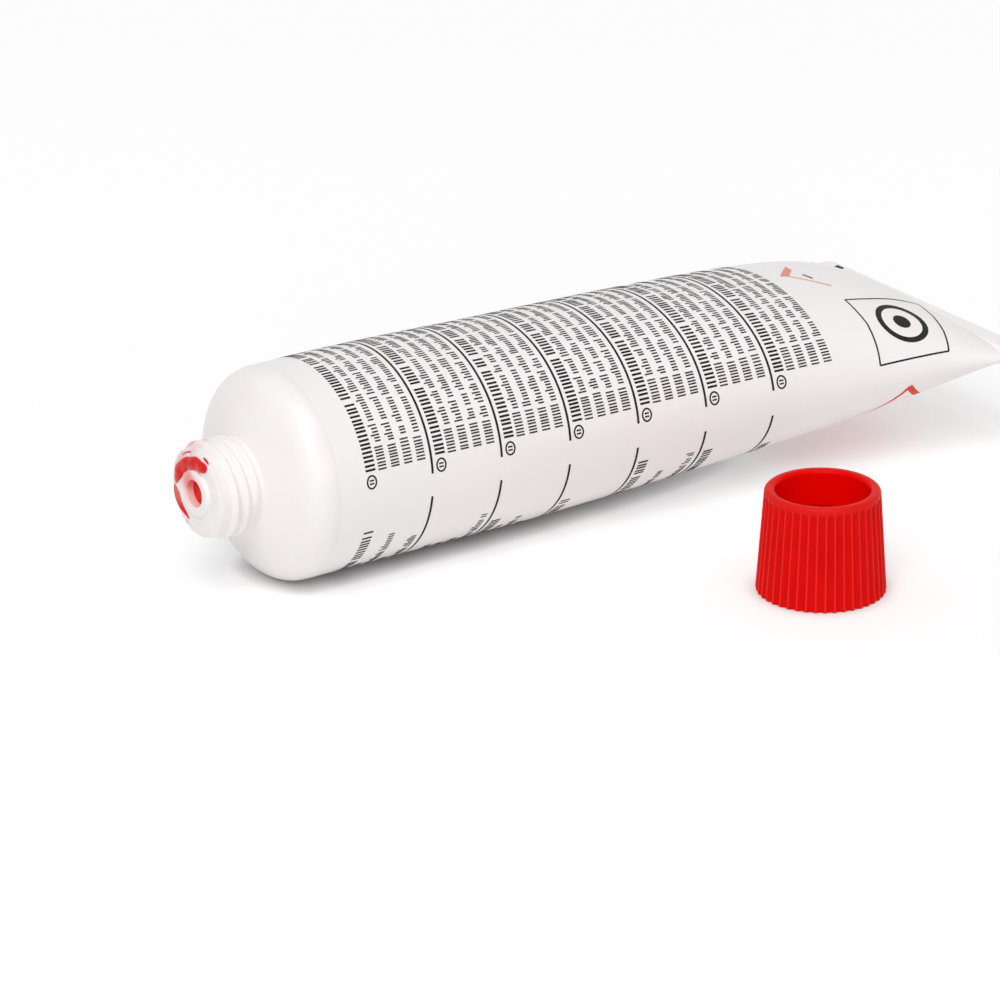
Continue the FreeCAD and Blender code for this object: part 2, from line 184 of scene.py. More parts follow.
def section(s):
    """Half width, half height, centre height and squareness of the sleeve s mm behind its mouth."""
    s = np.asarray(s, float)
    share = np.clip(s / (LENGTH - BAND), 0, 1)
    squash = SQUASH_SHARE * share ** 2 + (1 - SQUASH_SHARE) * share ** SQUASH_POWER
    high = CRIMP_HALF + (RADIUS - CRIMP_HALF) * (1 - squash)
    wide = (FLAT_HALF ** GIRTH_POWER - high ** GIRTH_POWER) ** (1 / GIRTH_POWER)
    gap = high - TAIL_HEIGHT
    centre = TAIL_HEIGHT + (gap + np.sqrt(gap ** 2 + SETTLE)) / 2
    band = smooth_step(LENGTH - BAND - 0.2, LENGTH - BAND + 0.2, s)
    high = high - (CRIMP_HALF - BAND_HALF) * band
    square = ROUND + (BOXY - ROUND) * smooth_step(LENGTH - BAND - BOX_RUN, LENGTH - BAND, s)
    into_corner = np.clip(s - (LENGTH - CRIMP_CORNER), 0, CRIMP_CORNER)
    wide = wide - CRIMP_CORNER + np.sqrt(CRIMP_CORNER ** 2 - into_corner ** 2)
    return wide, high, centre, square


def section_point(s, angle, inset=0.0):
    """A point of the sleeve: angle 0 is the side of the cap, a quarter turn is the top."""
    wide, high, centre, square = section(s)
    power = 2 / square
    cosine, sine = np.cos(angle), np.sin(angle)
    y = -(wide - inset) * np.sign(cosine) * np.abs(cosine) ** power
    z = np.maximum(high - inset, 0.02) * np.sign(sine) * np.abs(sine) ** power
    return np.stack([np.broadcast_to(MOUTH_X + s, np.shape(y)), AXIS_Y + y, centre + z], -1)


def girth_table():
    """For places along the sleeve: the angle at each distance round it from the side."""
    places = np.linspace(0, LENGTH - 0.02, 266)
    angles = np.linspace(-math.pi, math.pi, 2881)
    arcs = np.linspace(-FLAT_HALF * 2, FLAT_HALF * 2, 1101)
    table = []
    for s in places:
        ring = section_point(s, angles)[:, 1:]
        run = np.concatenate([[0], np.cumsum(np.linalg.norm(np.diff(ring, axis=0), axis=1))])
        run -= run[len(angles) // 2]
        table.append(np.interp(arcs, run, angles))
    return places, arcs, np.array(table)


TABLE_PLACES, TABLE_ARCS, TABLE_ANGLES = girth_table()


def angle_at(s, v):
    """The angle of a point that lies v mm round the sleeve from its side."""
    row = np.clip(s / TABLE_PLACES[-1] * (len(TABLE_PLACES) - 1), 0, len(TABLE_PLACES) - 1.001)
    span = TABLE_ARCS[-1] - TABLE_ARCS[0]
    column = np.clip((v - TABLE_ARCS[0]) / span * (len(TABLE_ARCS) - 1), 0, len(TABLE_ARCS) - 1.001)
    r, c = row.astype(int), column.astype(int)
    fr, fc = row - r, column - c
    near = TABLE_ANGLES[r, c] * (1 - fc) + TABLE_ANGLES[r, c + 1] * fc
    far = TABLE_ANGLES[r + 1, c] * (1 - fc) + TABLE_ANGLES[r + 1, c + 1] * fc
    return near * (1 - fr) + far * fr


def on_sleeve(s, v, lift):
    """Points at (s, v) on the sleeve, lifted along its outward normal."""
    def at(s, v):
        return section_point(s, angle_at(s, v))

    s, v = np.asarray(s, float), np.asarray(v, float)
    step = 0.02
    normal = np.cross(at(s + step, v) - at(s - step, v), at(s, v + step) - at(s, v - step))
    normal /= np.linalg.norm(normal, axis=-1, keepdims=True)
    return at(s, v) + normal * np.asarray(lift)[..., None]


def round_axis(place, radius, angle):
    """Points round the tube's axis, place mm in front of the mouth; angle as on the sleeve."""
    across, up = radius * np.cos(angle), radius * np.sin(angle)
    return np.stack([MOUTH_X - place, AXIS_Y - across, RADIUS + up], -1)


# --- materials ----------------------------------------------------------------------------------

def new_material(name, roughness, specular, subsurface=0.0, coat=0.0):
    material = bpy.data.materials.new(name)
    material.use_nodes = True
    nodes, links = material.node_tree.nodes, material.node_tree.links
    shader = nodes["Principled BSDF"]
    shader.inputs["Roughness"].default_value = roughness
    shader.inputs["Specular IOR Level"].default_value = specular
    shader.inputs["Subsurface Weight"].default_value = subsurface
    shader.inputs["Subsurface Radius"].default_value = (1, 0.6, 0.4)
    shader.inputs["Subsurface Scale"].default_value = 0.0012
    shader.inputs["Coat Weight"].default_value = coat
    shader.inputs["Coat Roughness"].default_value = 0.12
    where = nodes.new("ShaderNodeTexCoord").outputs["Object"]
    return material, nodes, links, shader, where


def noise(nodes, links, where, scale, detail=3.0, stretch=None):
    texture = nodes.new("ShaderNodeTexNoise")
    texture.inputs["Scale"].default_value = scale
    texture.inputs["Detail"].default_value = detail
    source = where
    if stretch:
        mapping = nodes.new("ShaderNodeMapping")
        mapping.inputs["Scale"].default_value = stretch
        links.new(where, mapping.inputs["Vector"])
        source = mapping.outputs["Vector"]
    links.new(source, texture.inputs["Vector"])
    return texture.outputs["Fac"]


def ramp(nodes, links, source, stops):
    node = nodes.new("ShaderNodeValToRGB")
    band = node.color_ramp
    while len(band.elements) < len(stops):
        band.elements.new(0.5)
    for element, (place, colour) in zip(band.elements, stops):
        element.position = place
        element.color = (*colour, 1) if len(colour) == 3 else (colour[0],) * 3 + (1,)
    links.new(source, node.inputs["Fac"])
    return node.outputs["Color"]


def mix_colour(nodes, links, factor, first, second):
    node = nodes.new("ShaderNodeMix")
    node.data_type = "RGBA"
    links.new(factor, node.inputs[0])
    for socket, value in ((node.inputs[6], first), (node.inputs[7], second)):
        if hasattr(value, "node"):
            links.new(value, socket)
        else:
            socket.default_value = (*value, 1)
    return node.outputs[2]


def math_node(nodes, links, operation, *values, clamp=True):
    node = nodes.new("ShaderNodeMath")
    node.operation = operation
    node.use_clamp = clamp
    for socket, value in zip(node.inputs, values):
        if hasattr(value, "node"):
            links.new(value, socket)
        else:
            socket.default_value = value
    return node.outputs[0]


def near_point(nodes, links, where, centre, inner, outer):
    """1 within inner mm of a point, falling to 0 at outer mm."""
    node = nodes.new("ShaderNodeVectorMath")
    node.operation = "DISTANCE"
    links.new(where, node.inputs[0])
    node.inputs[1].default_value = [n * MM for n in centre]
    fall = nodes.new("ShaderNodeMapRange")
    fall.interpolation_type = "SMOOTHSTEP"
    fall.inputs["From Min"].default_value = outer * MM
    fall.inputs["From Max"].default_value = inner * MM
    links.new(node.outputs["Value"], fall.inputs["Value"])
    return fall.outputs["Result"]


def roughen(nodes, links, shader, source, low, high):
    """Roughness that follows a noise between two values."""
    level = ramp(nodes, links, source, [(0.3, (low,)), (0.7, (high,))])
    links.new(level, shader.inputs["Roughness"])


def bump(nodes, links, shader, height, strength, distance, below=None):
    node = nodes.new("ShaderNodeBump")
    node.inputs["Strength"].default_value = strength
    node.inputs["Distance"].default_value = distance * MM
    links.new(height, node.inputs["Height"])
    if below:
        links.new(below, node.inputs["Normal"])
    links.new(node.outputs["Normal"], shader.inputs["Normal"])
    return node.outputs["Normal"]


def sleeve_material():
    material, nodes, links, shader, where = new_material("sleeve_film", 0.4, 0.45, 0.08, coat=0.1)
    clouds = noise(nodes, links, where, 45)
    white = ramp(nodes, links, clouds, [(0.3, (0.94, 0.897, 0.893)), (0.7, (0.955, 0.915, 0.911))])
    links.new(white, shader.inputs["Base Color"])
    grain = noise(nodes, links, where, 1500, 4)
    roughen(nodes, links, shader, grain, 0.34, 0.45)
    slow = noise(nodes, links, where, 90, 2, stretch=(0.35, 1, 1))
    first = bump(nodes, links, shader, slow, 0.25, 0.25)
    bump(nodes, links, shader, grain, 0.3, 0.012, first)
    return material


def head_material():
    """White plastic with a pink film where paste has run over the front of the neck."""
    material, nodes, links, shader, where = new_material("head_plastic", 0.32, 0.5, 0.15)
    clouds = noise(nodes, links, where, 160)
    white = ramp(nodes, links, clouds, [(0.3, (0.925, 0.882, 0.876)), (0.7, (0.94, 0.9, 0.894))])
    spots = noise(nodes, links, where, 620, 4)
    patches = ramp(nodes, links, spots, [(0.38, (0.15,)), (0.62, (1.0,))])
    face_x = MOUTH_X - FACE
    veil = near_point(nodes, links, where, (face_x, AXIS_Y + 4.6, RADIUS + 5.0), 2.2, 6.2)
    veil = math_node(nodes, links, "MULTIPLY", veil, patches)
    outlet = near_point(nodes, links, where, (face_x + 0.4, AXIS_Y + 0.3, RADIUS + 0.4), 2.3, 3.3)
    streak = near_point(nodes, links, where, (face_x + 0.6, AXIS_Y + 1.4, RADIUS + 1.7), 1.0, 2.8)
    pink = mix_colour(nodes, links, veil, white, (0.88, 0.42, 0.42))
    film = mix_colour(nodes, links, outlet, pink, (0.93, 0.62, 0.6))
    wet = mix_colour(nodes, links, streak, film, (0.84, 0.25, 0.25))
    links.new(wet, shader.inputs["Base Color"])
    roughen(nodes, links, shader, clouds, 0.29, 0.34)
    bump(nodes, links, shader, clouds, 0.25, 0.06)
    return material


def cap_material():
    """Red plastic with painted light: highlighted ridges, a lighter top rim and a lighter bore."""
    material, nodes, links, shader, where = new_material("cap_plastic", 0.36, 0.06)
    clouds = noise(nodes, links, where, 240, 4)
    flute = ramp(nodes, links, clouds, [(0.3, (0.66, 0.0015, 0.001)), (0.7, (0.72, 0.003, 0.002))])
    centred = nodes.new("ShaderNodeVectorMath")
    centred.operation = "SUBTRACT"
    links.new(where, centred.inputs[0])
    centred.inputs[1].default_value = (CAP_X * MM, CAP_Y * MM, 0)
    axes = nodes.new("ShaderNodeSeparateXYZ")
    links.new(centred.outputs["Vector"], axes.inputs[0])
    turn = math_node(nodes, links, "ARCTAN2", axes.outputs["Y"], axes.outputs["X"], clamp=False)
    turns = math_node(nodes, links, "MULTIPLY", turn, float(FLUTES), clamp=False)
    wave = math_node(nodes, links, "COSINE", turns, clamp=False)
    # Painted highlights: a thin lighter red line along each ridge between the flutes.
    ridge = ramp(nodes, links, math_node(nodes, links, "MULTIPLY_ADD", wave, -0.5, 0.5),
                 [(0.82, (0.0,)), (0.98, (1.0,))])
    # Painted highlight: the top rim is a lighter red, as if lit from above.
    rim = nodes.new("ShaderNodeMapRange")
    rim.interpolation_type = "SMOOTHSTEP"
    rim.inputs["From Min"].default_value = (CAP_TOP - 1.5) * MM
    rim.inputs["From Max"].default_value = (CAP_TOP - 0.8) * MM
    links.new(axes.outputs["Z"], rim.inputs["Value"])
    ridge_highlighted = mix_colour(nodes, links, ridge, flute, (0.87, 0.018, 0.015))
    outer = mix_colour(nodes, links, rim.outputs["Result"], ridge_highlighted, (0.76, 0.012, 0.01))
    # Painted light: a lighter red inside the bore to lift the shade there.
    flat = nodes.new("ShaderNodeCombineXYZ")
    links.new(axes.outputs["X"], flat.inputs["X"])
    links.new(axes.outputs["Y"], flat.inputs["Y"])
    inside = near_point(nodes, links, flat.outputs["Vector"], (0, 0, 0), BORE + 0.1, BORE + 0.8)
    lit = mix_colour(nodes, links, inside, outer, (0.85, 0.0012, 0.001))
    links.new(lit, shader.inputs["Base Color"])
    grain = noise(nodes, links, where, 1400, 4)
    roughen(nodes, links, shader, grain, 0.31, 0.43)
    bump(nodes, links, shader, grain, 0.3, 0.015)
    return material


def paste_material():
    """Glossy red paste, pinker where smeared beside the outlet and where it turns from the view
    (thin edges and painted sheen).
    """
    material, nodes, links, shader, where = new_material("paste_gloss", 0.2, 0.16)
    clouds = noise(nodes, links, where, 700, 4)
    red = ramp(nodes, links, clouds, [(0.3, (0.62, 0.003, 0.003)), (0.7, (0.82, 0.014, 0.008))])
    # Pinker where the surface turns from the view: partly the thinner paste at the bead's edges,
    # partly a painted sheen.
    facing = nodes.new("ShaderNodeLayerWeight")
    facing.inputs["Blend"].default_value = 0.35
    thin_edges_and_sheen = ramp(nodes, links, facing.outputs["Facing"], [(0.35, (0.0,)), (0.95, (0.8,))])
    thin = near_point(nodes, links, where, (MOUTH_X - FACE, AXIS_Y + 5.8, RADIUS - 1.4), 1.2, 3.0)
    with_thin_edges_and_sheen = mix_colour(nodes, links, thin_edges_and_sheen, red, (0.84, 0.15, 0.14))
    smeared = mix_colour(nodes, links, thin, with_thin_edges_and_sheen, (0.68, 0.13, 0.12))
    links.new(smeared, shader.inputs["Base Color"])
    roughen(nodes, links, shader, clouds, 0.12, 0.26)
    bump(nodes, links, shader, clouds, 0.4, 0.1)
    return material


def ink_material(name, dark, light):
    material, nodes, links, shader, where = new_material(name, 0.5, 0.12)
    wear = noise(nodes, links, where, 1600)
    links.new(ramp(nodes, links, wear, [(0.35, dark), (0.7, light)]), shader.inputs["Base Color"])
    roughen(nodes, links, shader, wear, 0.44, 0.56)
    bump(nodes, links, shader, wear, 0.3, 0.01)
    return material


SLEEVE = sleeve_material()
HEAD = head_material()
CAP = cap_material()
PASTE = paste_material()
INK = ink_material("print_black", (0.012, 0.011, 0.011), (0.03, 0.028, 0.028))
SOFT_INK = ink_material("print_soft_black", (0.018, 0.017, 0.017), (0.04, 0.037, 0.037))
ORANGE = ink_material("print_orange", (0.7, 0.06, 0.022), (0.78, 0.09, 0.035))
PALE_ORANGE = ink_material("print_pale_orange", (0.76, 0.29, 0.2), (0.84, 0.38, 0.28))


# --- the sleeve ---------------------------------------------------------------------------------

def make_sleeve():
    columns = 288
    angles = np.linspace(-math.pi, math.pi, columns, endpoint=False)
    rim = [0.0, 0.08, 0.2, 0.5, 1.0]
    middle = list(np.linspace(2, LENGTH - 14, 66))
    tail = list(np.linspace(LENGTH - 13, LENGTH - BAND - 3, 12))
    weld = list(np.linspace(LENGTH - BAND - 2.7, LENGTH - BAND + 0.3, 13))
    end = [LENGTH - 2.6, LENGTH - 2, LENGTH - 1.5]
    turn = np.linspace(0, math.pi / 2 * 0.97, 9)
    corner = list(LENGTH - CRIMP_CORNER + CRIMP_CORNER * np.sin(turn))
    outside = rim + middle + tail + weld + end + corner
    inside = list(np.linspace(0, LENGTH - BAND - 6, 30))
    mouth_bevel = {0.0: 0.02, 0.08: 0.0}
    rings = [section_point(s, angles, -SKIN_LIFT + mouth_bevel.get(s, 0)) for s in outside]
    rings += [section_point(s, angles, WALL) for s in inside]
    faces = grid_faces(len(outside), columns, flip=True)
    first = len(outside) * columns
    faces += grid_faces(len(inside), columns, first=first)
    for column in range(columns):
        after = (column + 1) % columns
        faces.append((column, after, first + after, first + column))
    half = columns // 2
    last_outside = (len(outside) - 1) * columns
    last_inside = first + (len(inside) - 1) * columns
    for start, flip in ((last_outside, True), (last_inside, False)):
        for step in range(half):
            a, b = start + half + step, start + (half + step + 1) % columns
            c, d = start + half - step - 1, start + half - step
            quad = tuple(dict.fromkeys((a, b, c, d)))
            if len(quad) > 2:
                faces.append(quad[::-1] if flip else quad)
    piece = add_mesh("tube_skin", np.concatenate(rings), faces, SLEEVE, "sleeve_plastic", 40)
    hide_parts("tube_sleeve")


# --- the print ----------------------------------------------------------------------------------

class Print:
    """Thin closed shapes laid on the sleeve and gathered into one piece."""

    def __init__(self):
        self.places, self.arcs, self.lifts, self.faces = [], [], [], []

    def add(self, place, lift):
        self.places.append(place[0])
        self.arcs.append(place[1])
        self.lifts.append(lift)

    def ribbon(self, line, width, closed=False):
        """A strip of even width along a line."""
        line = np.array(line, float)
        if closed:
            tangent = np.roll(line, -1, 0) - np.roll(line, 1, 0)
        else:
            tangent = np.concatenate([line[1:], line[-1:]]) - np.concatenate([line[:1], line[:-1]])
        tangent /= np.linalg.norm(tangent, axis=1, keepdims=True)
        aside = np.stack([-tangent[:, 1], tangent[:, 0]], 1) * np.reshape(width, (-1, 1)) / 2
        first = len(self.places)
        for point, offset in zip(line, aside):
            for side, lift in ((1, INK_TOP), (-1, INK_TOP), (-1, INK_BOTTOM), (1, INK_BOTTOM)):
                self.add(point + offset * side, lift)
        count = len(line)
        for index in range(count if closed else count - 1):
            a = first + 4 * index
            b = first + 4 * ((index + 1) % count)
            for corner in range(4):
                after = (corner + 1) % 4
                self.faces.append((a + corner, b + corner, b + after, a + after))
        if not closed:
            last = first + 4 * (count - 1)
            self.faces.append((first, first + 1, first + 2, first + 3))
            self.faces.append((last + 3, last + 2, last + 1, last))

    def line(self, start, end, width, step=0.9):
        start, end = np.array(start, float), np.array(end, float)
        parts = max(1, math.ceil(np.linalg.norm(end - start) / step))
        self.ribbon([start + (end - start) * n / parts for n in range(parts + 1)], width)

    def ring(self, centre, half_along, half_around, width, parts=28):
        turn = np.linspace(0, 2 * math.pi, parts, endpoint=False)
        self.ribbon([(centre[0] + half_along * math.cos(a), centre[1] + half_around * math.sin(a))
                     for a in turn], width, closed=True)

    def disc(self, centre, radius, parts=32):
        """A filled round spot."""
        first = len(self.places)
        for lift in (INK_TOP, INK_BOTTOM):
            self.add(centre, lift)
            for turn in np.linspace(0, 2 * math.pi, parts, endpoint=False):
                rim = (centre[0] + radius * math.cos(turn), centre[1] + radius * math.sin(turn))
                self.add(rim, lift)
        under = first + parts + 1
        self.faces += fan_faces(first, first + 1, parts)
        self.faces += fan_faces(under, under + 1, parts, flip=True)
        for n in range(parts):
            after = (n + 1) % parts
            self.faces.append((first + 1 + n, under + 1 + n, under + 1 + after, first + 1 + after))

    def patch(self, corners, step=0.9):
        """A filled four-sided field; its corners run round it."""
        a, b, c, d = (np.array(corner, float) for corner in corners)
        rows = max(2, math.ceil(np.linalg.norm(b - a) / step) + 1)
        columns = max(2, math.ceil(np.linalg.norm(d - a) / step) + 1)
        first = len(self.places)
        for lift in (INK_TOP, INK_BOTTOM):
            for u in np.linspace(0, 1, rows):
                for w in np.linspace(0, 1, columns):
                    self.add((a * (1 - u) + b * u) * (1 - w) + (d * (1 - u) + c * u) * w, lift)
        under = rows * columns
        self.faces += grid_faces(rows, columns, first, wrap=False)
        self.faces += grid_faces(rows, columns, first + under, wrap=False, flip=True)
        edge = [first + n for n in range(columns)]
        edge += [first + n * columns + columns - 1 for n in range(1, rows)]
        edge += [first + under - 1 - n for n in range(1, columns)]
        edge += [first + n * columns for n in range(rows - 2, 0, -1)]
        for here, after in zip(edge, edge[1:] + edge[:1]):
            self.faces.append((after, here, here + under, after + under))

    def finish(self, name, material):
        points = on_sleeve(np.array(self.places), np.array(self.arcs), np.array(self.lifts))
        add_mesh(name, points, self.faces, material, "sleeve_plastic", 30)


def dashes(ink, base, start, end, height, stroke, pitch, full_share, lead=0):
    """Groups of plain upright dashes from start to end round the sleeve, in place of words."""
    v = start
    while v < end:
        for count in range(lead or random.randint(3, 13)):
            if v + stroke > end:
                break
            tall = height if lead or random.random() < full_share else 0.7 * height
            ink.ribbon([(base, v), (base - tall, v)], stroke)
            v += pitch * random.uniform(0.85, 1.15)
        lead = 0
        v += pitch * 0.9


FIRST_RULE, RULE_STEP, BLOCKS = 17.45, 13.2, 7
RULE_WIDTH, RULE_STEPS, RULE_GAP, RULE_REACH = 0.4, 0.6, -2.45, (47, -50)
TITLE_PLACE, TITLE_SHIFT = 1.75, 0.92
TITLE_DASHES = (1.84, 0.36, 0.68, 1)            # height, stroke, pitch and share of full height
ROW_PLACES, ROW_SHIFT = (4.0, 6.45, 8.9, 11.35), 0.77
ROW_DASHES = (1.54, 0.25, 0.5, 0.3)
LOWER_START = -48
LOWER_ENDS = {(0, 0): -5.7, (0, 2): -7.6, (0, 4): -9.8, (1, 4): -8.5, (2, 0): -11.2, (2, 2): -12.2,
              (3, 0): -10.4, (4, 0): -4.9, (4, 2): -9.5, (4, 4): -6.3, (5, 0): -6.4, (6, 0): -9.7}


def make_text_blocks():
    bold, fine = Print(), Print()
    for block in range(BLOCKS):
        rule = FIRST_RULE + RULE_STEP * (block - 1)
        low = 1.35 + 0.1 * block
        if block:
            bold.line((rule, low), (rule, RULE_REACH[0]), RULE_WIDTH, RULE_STEPS)
            bold.line((rule, RULE_GAP), (rule, RULE_REACH[1]), RULE_WIDTH, RULE_STEPS)
        title, middle = rule + TITLE_PLACE, low + 1.1
        bold.ring((title, middle), 0.84, 1.04, 0.28)
        for bar in (-0.27, 0.27):
            bold.line((title - 0.42, middle + bar), (title + 0.42, middle + bar), 0.26)
        base = title + TITLE_SHIFT
        dashes(bold, base, low + 3.05, 44 + random.uniform(-4, 1), *TITLE_DASHES, lead=17)
        lower_end = LOWER_ENDS.get((block, 0), random.uniform(-22, -14))
        dashes(bold, base, LOWER_START, lower_end, *TITLE_DASHES)
        for row, place in enumerate(ROW_PLACES, 1):
            base = rule + place + ROW_SHIFT
            dashes(fine, base, low + 2.85, random.uniform(34, 46), *ROW_DASHES, lead=8)
            lower_end = LOWER_ENDS.get((block, row), random.uniform(-22, -14))
            dashes(fine, base, LOWER_START, lower_end, *ROW_DASHES)
    bold.finish("print_titles", INK)
    fine.finish("print_rows", SOFT_INK)


def make_marks():
    """A framed plain ring, two plain chevrons, a field underneath and the mark on the band."""
    black, orange, pale = Print(), Print(), Print()
    outline = [(105.0, 16.1), (105.3, 10.0), (104.35, 2.25), (117.4, 2.7), (118.9, 6.9),
               (120.2, 11.7), (120.8, 16.1), (114.6, 16.15), (109.6, 16.0)]
    for start, end in zip(outline, outline[1:] + outline[:1]):
        black.line(start, end, 0.3)
    black.ring((112.2, 9.6), 4.0, 4.0, 1.0, 48)
    black.disc((112.2, 9.6), 1.5)
    black.line((103.6, 25.85), (104.2, 23.9), 0.5)
    black.patch([(131.0, 50.1), (131.9, 50.1), (131.9, 52.0), (131.0, 52.0)])
    pale.patch([(98.8, 25.8), (104.0, 31.0), (103.4, 28.5), (100.4, 25.4)])
    pale.line((100.2, 25.6), (105.7, 20.75), 0.4)
    orange.patch([(109.9, -3.3), (110.5, -2.3), (114.6, -7.0), (113.8, -7.7)])
    orange.line((110.3, -2.75), (107.2, -8.0), 0.7)
    orange.line((107.2, -8.0), (104.9, -13.0), 0.7)
    orange.patch([(94, -15), (120, -15), (120, -40), (94, -40)])
    black.finish("print_frame", INK)
    orange.finish("print_orange_fields", ORANGE)
    pale.finish("print_worn_orange", PALE_ORANGE)


# --- head ---------------------------------------------------------------------------------------

def helix_ridge(place, angle, first, pitch, travel, flat, foot, fade):
    """Share of a helical ridge's height at a place; it starts at angle 0 and climbs with it."""
    best = np.zeros_like(place)
    total = travel / pitch * 2 * math.pi
    for turn in range(-1, int(travel / pitch) + 3):
        phase = angle + 2 * math.pi * turn
        away = np.abs(place - first - pitch * phase / (2 * math.pi))
        start, end = (smooth_step(at - fade, at + fade, phase) for at in (0, total))
        ends = start * (1 - end)
        best = np.maximum(best, (1 - smooth_step(flat, foot, away)) * ends)
    return best


def make_head():
    outer = RADIUS + SKIN_LIFT
    spigot_outer = RADIUS - WALL - 0.05
    spigot_inner = spigot_outer - 1
    corner = ROOT - (RADIUS - NECK_RADIUS) * SLOPE
    neck_inner = NECK_RADIUS - NECK_WALL
    offset = SHOULDER_WALL / math.cos(math.atan(SLOPE))
    inner_foot = corner - offset + (RADIUS - neck_inner) * SLOPE
    inner_corner = corner - offset + (RADIUS - spigot_inner) * SLOPE

    def spacing(point):
        on_neck = point[0] > ROOT - 0.5 and point[1] > NECK_RADIUS - 1.6
        return 0.13 if on_neck else 0.4 if point[0] > -0.5 and point[1] > NECK_RADIUS else 1.2

    outline = rounded_outline([
        (-SPIGOT, spigot_inner, 0), (-SPIGOT, spigot_outer, 0.2), (0, spigot_outer, 0),
        (0.0, outer - 0.01, 0.03), (corner, outer, SHOULDER_CORNER), (ROOT, NECK_RADIUS, 0.5),
        (FACE, NECK_RADIUS, NECK_ROUNDING), (FACE, BOSS_RADIUS, 0.2), (TIP, BOSS_RADIUS, 0.25),
        (TIP, OUTLET_RADIUS, 0.25), (FACE - 1.6, OUTLET_RADIUS, 0), (FACE - 1.6, neck_inner, 0),
        (inner_foot, neck_inner, 0), (inner_corner, spigot_inner, 0)], spacing, steps=10)
    columns = 240
    angles = np.linspace(0, 2 * math.pi, columns, endpoint=False)
    shape = (len(outline), columns)
    place = np.broadcast_to(outline[:, :1], shape)
    radii = np.broadcast_to(outline[:, 1:], shape).copy()
    ridge = helix_ridge(place, np.broadcast_to(angles, shape), ROOT + THREAD_FIRST, PITCH,
                        THREAD_TRAVEL, 0.12, 0.82, 0.35)
    on_neck = (radii > NECK_RADIUS - 0.5) & (radii < NECK_RADIUS + 1.5) & (place > ROOT - 0.8)
    radii = np.where(on_neck & (place < FACE - 0.25),
                     np.maximum(radii, NECK_RADIUS + (THREAD_HEIGHT + 0.01) * ridge - 0.01), radii)
    points = round_axis(place, radii, angles)
    faces = grid_faces(len(outline), columns)
    last = (len(outline) - 1) * columns
    for column in range(columns):
        after = (column + 1) % columns
        faces.append((last + column, last + after, after, column))
    piece = add_mesh("nozzle_head", points.reshape(-1, 3), faces, HEAD, "head_plastic", 50)
    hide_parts("tube_head")


# --- paste on the end face ----------------------------------------------------------------------

def on_front(q, angle, height):
    """A point on the end face, q mm outside its flat part and lifted by height."""
    flat = NECK_RADIUS - NECK_ROUNDING
    bend = np.clip(q / NECK_ROUNDING, 0, math.pi / 2)
    beyond = np.maximum(q - NECK_ROUNDING * math.pi / 2, 0)
    place = FACE - NECK_ROUNDING * (1 - np.cos(bend)) - beyond + height * np.cos(bend)
    radius = flat + np.minimum(q, 0) + NECK_ROUNDING * np.sin(bend) + height * np.sin(bend)
    return round_axis(place, radius, angle)


def blob(table, steps, around):
    """A rounded bead along (angle in degrees, q, half width, height) rows, closed at both ends."""
    table = np.array(table, float)
    share = np.linspace(0, 1, steps + 2)[1:-1]
    ease = 0.5 - 0.5 * np.cos(math.pi * share)
    angle = table[0, 0] + (table[-1, 0] - table[0, 0]) * ease
    q, wide, high = (np.interp(angle, table[:, 0], table[:, n])[:, None] for n in (1, 2, 3))
    turn = np.linspace(0, 2 * math.pi, around, endpoint=False)
    angle = angle[:, None]
    ripple = 1 + 0.1 * np.sin(angle * 0.09 + 2 * turn) + 0.08 * np.sin(angle * 0.21 + 1.3 - turn)
    sine = np.sin(turn)
    crown = high * np.abs(sine) ** 0.8 * np.minimum(ripple, 1)
    lift = np.where(sine > 0, crown, -0.08 * np.abs(sine))
    points = on_front(q + wide * np.cos(turn) * ripple, np.radians(angle), lift).reshape(-1, 3)
    ends = [on_front(table[n, 1], math.radians(table[n, 0]), 0.02)[None] for n in (0, -1)]
    points = np.concatenate([points] + ends)
    faces = grid_faces(steps, around, flip=True)
    faces += fan_faces(len(points) - 2, 0, around)
    faces += fan_faces(len(points) - 1, (steps - 1) * around, around, flip=True)
    return points, faces


def make_paste():
    upper = [(57, -0.5, 0.15, 0.1), (59, -0.55, 0.75, 0.32), (63, -0.65, 1.0, 0.46),
             (72, -0.85, 1.05, 0.55), (95, -1.0, 0.98, 0.56), (120, -0.95, 0.98, 0.55),
             (145, -0.75, 1.0, 0.55), (160, -0.5, 0.95, 0.5), (171, -0.25, 0.8, 0.4),
             (178, -0.15, 0.5, 0.25), (182, -0.1, 0.12, 0.08)]
    streak = [(184, 0.6, 0.1, 0.08), (188, 0.4, 0.5, 0.25), (197, 0.15, 0.85, 0.38),
              (208, 0, 0.8, 0.38), (219, -0.1, 0.55, 0.3), (229, -0.25, 0.45, 0.26),
              (238, -0.4, 0.32, 0.16), (246, -0.3, 0.1, 0.06)]
    near_mark = [(60, 0.75, 0.06, 0.04), (64, 0.8, 0.2, 0.12), (70, 0.85, 0.22, 0.12),
                 (75, 0.8, 0.08, 0.05)]
    top_mark = [(104, 0.65, 0.05, 0.04), (110, 0.7, 0.16, 0.09), (122, 0.7, 0.14, 0.08),
                (130, 0.6, 0.05, 0.04)]
    low_mark = [(236, 1.0, 0.06, 0.04), (240, 0.9, 0.16, 0.08), (246, 0.95, 0.05, 0.04)]
    beads = [blob(upper, 96, 36), blob(streak, 72, 28), blob(near_mark, 20, 16),
             blob(top_mark, 24, 16), blob(low_mark, 16, 16)]
    points, faces, first = [], [], 0
    for bead_points, bead_faces in beads:
        points.append(bead_points)
        faces += [tuple(n + first for n in face) for face in bead_faces]
        first += len(bead_points)
    piece = add_mesh("paste_on_face", np.concatenate(points), faces, PASTE, "paste")
    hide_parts("paste_smear")


# --- cap ----------------------------------------------------------------------------------------

